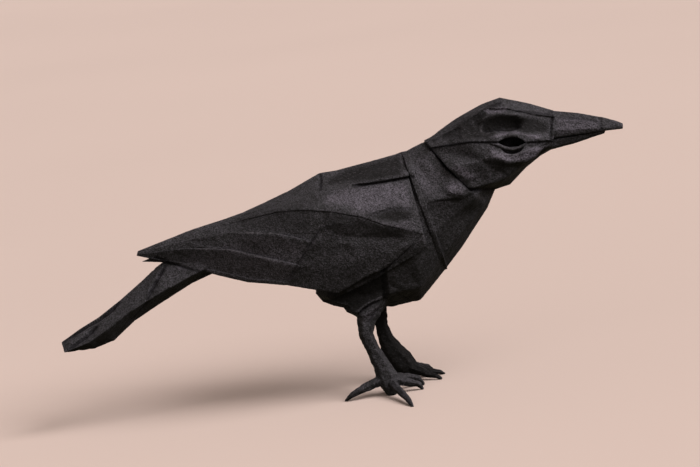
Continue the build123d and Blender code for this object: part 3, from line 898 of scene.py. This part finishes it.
    def on_paper(self, tree: BVHTree, start: Point, end: Point, count: int) -> list[Vector]:
        """Places of a drawn line on both sides of the bird.

        Args:
            tree: the paper's faces.
            start: where the line starts, as (x, z) in millimetres.
            end: where it ends.
            count: how many steps.

        Returns:
            The places, in metres.
        """
        found = []
        for i in range(count + 1):
            x, z = ((a + (b - a) * i / count) * MM for a, b in zip(start, end))
            for side in (-1, 1):
                hit = tree.ray_cast(Vector((x, MIDDLE_Y + side * 0.2, z)), Vector((0, -side, 0)))[0]
                if hit is not None:
                    found.append(hit)
        return found

    def round_folds(self) -> None:
        """Takes the hard edge off each fold, as pressed paper has."""
        inside = self.bm.faces.layers.int["inside"]
        verts = [v for v in self.bm.verts if not unseen(v, inside)]
        before = {v: v.co.copy() for v in verts}
        smooth(self.bm, verts, self.round_passes, along=True)
        for vert, place in before.items():
            move = vert.co - place
            if move.length > self.most:
                vert.co = place + move * (self.most / move.length)

    def iron_flat(self) -> None:
        """Softens the layer edges that the paper hardly shows."""
        verts = []
        for vert in self.bm.verts:
            x, z = vert.co.x / MM, vert.co.z / MM
            if any(abs(line.nearest(x, z)[0]) < self.iron_reach for line in self.ironed):
                verts.append(vert)
        smooth(self.bm, verts, self.iron_rounds, along=False)

    def press_folds(self) -> None:
        """Presses the drawn fold lines into the faces that show from the side."""
        self.bm.normal_update()
        tree = BVHTree.FromBMesh(self.bm)
        moves = []
        for vert in self.bm.verts:
            side = -1 if vert.co.y < MIDDLE_Y else 1
            way = Vector((0, side, 0))
            if vert.normal.y * side < self.least_side:
                continue
            x, z = vert.co.x / MM, vert.co.z / MM
            rise = sum(shape.rise(x, z) for shape in self.folds + self.dents)
            rise *= share_between(vert.normal.y * side, self.least_side, self.full_side)
            rise *= share_between(vert.co.x - CAD_BOX[0][0], 1 * MM, 6 * MM)
            if abs(rise) < 0.01:
                continue
            if tree.ray_cast(vert.co + vert.normal * 0.03 * MM + way * 0.05 * MM, way)[0] is not None:
                continue
            moves.append((vert, vert.normal * rise * MM))
        for vert, move in moves:
            vert.co += move

    def lower_lids(self) -> None:
        """Lets the upper lids hang a little over the eyes."""
        x, half, low, top = self.lid
        for vert in self.bm.verts:
            across = (vert.co.x - x) / half
            if abs(across) < 1 and low < vert.co.z < top:
                up = min(1.0, (vert.co.z - low) / (1.2 * MM), (top - vert.co.z) / (3 * MM))
                vert.co.z -= self.lid_drop * (1 - across * across) * up

    def slim_legs(self) -> None:
        """Draws the two shanks in a little where they face each other."""
        self.bm.normal_update()
        for vert in self.bm.verts:
            share = (vert.co.z - self.foot_top) / (self.leg_top - self.foot_top)
            if not 0 < share < 1:
                continue
            way = 1 if vert.co.y > MIDDLE_Y else -1
            if vert.normal.x * way < -0.1:
                vert.co.x += way * self.slim * math.sin(math.pi * share) * min(1.0, abs(vert.normal.x) * 2)

    def buckle(self) -> None:
        """Buckles the panels a little, all layers of a place together."""
        noise.seed_set(self.seed)
        self.bm.normal_update()
        for vert in self.bm.verts:
            place = vert.co.copy()
            leg = 1 - share_between(place.z, self.leg_top - 3 * MM, self.leg_top + 3 * MM)
            leg *= min(1.0, place.z / (3 * MM)) if vert.normal.z < -0.3 else 1.0
            if leg > 0:
                wrap = Vector((place.x * 240, place.y * 240, place.z * 360))
                vert.co += vert.normal * (abs(noise.noise(wrap)) - 0.25) * 2.2 * self.bark * leg
            calm = share_between(place.z, 1 * MM, 13 * MM)
            for size, rate in self.ripple:
                shift = noise.noise_vector(place * rate) * size * calm
                vert.co += Vector((0.25 * shift.x, shift.y, 0.35 * shift.z))
            low, high = CAD_BOX
            vert.co = Vector(min(max(c, a), b) for c, a, b in zip(vert.co, low, high))

    def store_folds(self) -> None:
        """Stores how much each place stands out or lies in a fold: for the paper's wear on ridges, and for
        painted shade in hollow folds and along the shaded fold lines.
        """
        self.bm.normal_update()
        shaded = [line for line in self.folds if line.shade > 0]
        layer = self.bm.verts.layers.float.new("fold")
        for vert in self.bm.verts:
            bend = 0.0
            for edge in vert.link_edges:
                other = edge.other_vert(vert)
                way = other.co - vert.co
                length = way.length
                if length > 1e-7:
                    bend -= way.dot(vert.normal) / length
            value = min(1.0, max(0.0, 0.5 + 0.9 * bend / max(1, len(vert.link_edges))))
            x, z = vert.co.x / MM, vert.co.z / MM
            # painted shade along the shaded fold lines
            for line in shaded:
                if abs(vert.normal.y) > 0.1 and line.near(x, z, 1.2):
                    off = abs(line.nearest(x, z)[0] + line.foot)
                    value = min(value, 0.5 - 0.5 * line.shade * (1 - share_between(off, 0.3, 0.9)))
            vert[layer] = value

    def store_dust_and_shade(self) -> None:
        """Stores how open each place is to above, for painted shade on sheltered and downward faces and
        for the pale flecks that settle on open ones; also the painted light patches and the legs' painted
        shade.
        """
        layer = self.bm.verts.layers.float.new("dust_and_shade")
        painted_light = self.bm.verts.layers.float.new("painted_light")
        inside = self.bm.faces.layers.int["inside"]
        tree = BVHTree.FromBMesh(self.bm)
        turns = [math.radians(60 * i + 30) for i in range(6)]
        ways = [Vector((0.8 * math.cos(a), 0.8 * math.sin(a), 0.6)) for a in turns] + [Vector((0, 0, 1))]
        all_open = 1 + 0.6 * len(turns)  # what a face that looks straight up adds up to
        for vert in self.bm.verts:
            if unseen(vert, inside):
                continue
            start = vert.co + vert.normal * 0.15 * MM
            total = 0.0
            for way in ways:
                share = vert.normal.dot(way)
                if share > 0.02 and tree.ray_cast(start, way, self.shelter_reach)[0] is None:
                    total += share
            vert[layer] = total / all_open
            if abs(vert.normal.y) > 0.1:
                x, z = vert.co.x / MM, vert.co.z / MM
                vert[painted_light] = sum(patch.at(x, z) for patch in self.painted_light_patches)
            # painted shade on the legs under the body, most where they face each other
            if vert.co.z < self.leg_top:
                inward = -vert.normal.y * (1 if vert.co.y > MIDDLE_Y else -1)
                vert[painted_light] -= self.leg_painted_shade + self.inner_leg_painted_shade * min(1.0, max(0.0, 3 * inward))


def finished(
    bm: bmesh.types.BMesh, name: str, material: bpy.types.Material, node: str | None = None
) -> bpy.types.Object:
    """A piece of the object from a mesh in place.

    Args:
        bm: the mesh, which is used up.
        name: the piece's name.
        material: its finish.
        node: the CAD node that it stands for, if any.

    Returns:
        The object.
    """
    for face in bm.faces:
        face.smooth = True
    mesh = bpy.data.meshes.new(name)
    bm.to_mesh(mesh)
    bm.free()
    mesh.materials.append(material)
    piece = bpy.data.objects.new(name, mesh)
    bpy.context.scene.collection.objects.link(piece)
    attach(piece, "root")
    if node:
        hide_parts(node)
    log.info("%s: %d faces", name, len(mesh.polygons))
    return piece


@dataclass(frozen=True)
class Lamp:
    """A wide soft light from far off, which lights bird and floor evenly.

    Args:
        name: its name.
        way: direction towards it.
        spread: how wide it looks from the bird, in degrees.
        power: in watts a square metre.
        colour: its colour.
    """

    name: str
    way: Triple
    spread: float
    power: float
    colour: Triple

    def hang(self) -> None:
        """Adds the light to the scene."""
        data = bpy.data.lights.new(self.name, "SUN")
        data.angle, data.energy, data.color = math.radians(self.spread), self.power, self.colour
        lamp = bpy.data.objects.new(self.name, data)
        bpy.context.scene.collection.objects.link(lamp)
        lamp.matrix_world = (-Vector(self.way)).to_track_quat("-Z", "Y").to_matrix().to_4x4()


@dataclass
class Studio:
    """Plain pale floor, soft lights and the camera.

    Args:
        target: the place that the middle of the picture shows, in metres.
        distance: from there to the camera.
        elevation: height of the camera over the horizon, in degrees.
        roll: turn of the picture, in degrees.
        lens: focal length, in millimetres.
        floor_colour: the floor's colour.
        ground_light: light that comes from straight below.
        zenith_light: light that comes from straight above.
        sky_stops: height in the sky, 0.5 for the horizon, and the light that comes from there.
        lamps: the lights.
    """

    target: Triple = (4.28 * MM, 8.81 * MM, 74.3 * MM)
    distance: float = 1.0733
    elevation: float = 10.0
    roll: float = 7.5
    lens: float = 120.0
    floor_colour: Triple = (0.65, 0.515, 0.44)
    ground_light: Triple = (0.075, 0.066, 0.035)
    zenith_light: Triple = (0.24, 0.195, 0.172)
    sky_stops: tuple[tuple[float, Triple], ...] = (
        (0.48, (0.120, 0.100, 0.075)),
        (0.50, (0.65, 0.52, 0.45)),
        (0.53, (0.50, 0.42, 0.38)),
        (0.58, (0.22, 0.20, 0.20)),
    )
    lamps: tuple[Lamp, ...] = (
        Lamp("key", (0.64, -0.32, 0.70), 45.0, 3.6, (1.0, 0.97, 1.0)),
        Lamp("fill", (-0.25, -0.92, 0.15), 90.0, 0.55, (1.0, 0.97, 0.93)),
    )

    def camera(self) -> None:
        """Places the camera."""
        data = bpy.data.cameras.new("camera")
        data.lens = self.lens
        data.sensor_width = 36.0
        data.clip_start, data.clip_end = 0.05, 50.0
        camera = bpy.data.objects.new("camera", data)
        bpy.context.scene.collection.objects.link(camera)
        e, r = math.radians(self.elevation), math.radians(self.roll)
        back = Vector((0, -math.cos(e), math.sin(e)))
        level, upright = Vector((1, 0, 0)), Vector((0, math.sin(e), math.cos(e)))
        right = level * math.cos(r) - upright * math.sin(r)
        up = level * math.sin(r) + upright * math.cos(r)
        turn = Matrix((right, up, back)).transposed().to_4x4()
        camera.matrix_world = Matrix.Translation(Vector(self.target) + back * self.distance) @ turn
        bpy.context.scene.camera = camera

    def floor(self) -> None:
        """Lays the pale floor."""
        bm = bmesh.new()
        bmesh.ops.create_grid(bm, x_segments=2, y_segments=2, size=15.0)
        mesh = bpy.data.meshes.new("floor")
        bm.to_mesh(mesh)
        bm.free()
        mat = bpy.data.materials.new("pale_floor")
        mat.use_nodes = True
        kit = NodeKit(mat.node_tree)
        shader = mat.node_tree.nodes["Principled BSDF"]
        place = kit.add("ShaderNodeTexCoord").outputs["Object"]
        cloud = kit.noise(place, 1.2, 2.0, 0.5)
        lighter = tuple(c * 1.03 for c in self.floor_colour)
        tone = kit.mix(kit.between(cloud, 0.35, 0.65), self.floor_colour, lighter)
        mat.node_tree.links.new(tone, shader.inputs["Base Color"])
        shader.inputs["Roughness"].default_value = 0.9
        mesh.materials.append(mat)
        floor = bpy.data.objects.new("floor", mesh)
        bpy.context.scene.collection.objects.link(floor)
        floor.visible_diffuse = False
        floor.visible_glossy = False

    def sky(self) -> None:
        """Light from all round: soft above, palest at the horizon and dark from below."""
        world = bpy.data.worlds.new("studio")
        bpy.context.scene.world = world
        world.use_nodes = True
        kit = NodeKit(world.node_tree)
        split = kit.add("ShaderNodeSeparateXYZ")
        kit.plug(kit.add("ShaderNodeTexCoord").outputs["Generated"], split.inputs[0])
        ramp = kit.add("ShaderNodeValToRGB")
        kit.plug(kit.between(split.outputs["Z"], -1.0, 1.0), ramp.inputs["Fac"])
        stops = ramp.color_ramp.elements
        stops[0].position, stops[0].color = 0.0, (*self.ground_light, 1.0)
        stops[1].position, stops[1].color = 1.0, (*self.zenith_light, 1.0)
        for place, colour in self.sky_stops:
            stop = stops.new(place)
            stop.color = (*colour, 1.0)
        kit.plug(ramp.outputs["Color"], world.node_tree.nodes["Background"].inputs["Color"])

    def build(self) -> None:
        """Makes the whole studio."""
        self.camera()
        self.floor()
        for lamp in self.lamps:
            lamp.hang()
        self.sky()
        bpy.context.scene.view_settings.view_transform = "Standard"


def main() -> None:
    """Builds the bird and its studio, in order."""
    logging.basicConfig(level=logging.INFO, format="%(message)s")
    paper = BlackPaper().material("black_paper")
    FoldedSheet().build(paper)
    Studio().build()


if __name__ == "__main__":
    main()
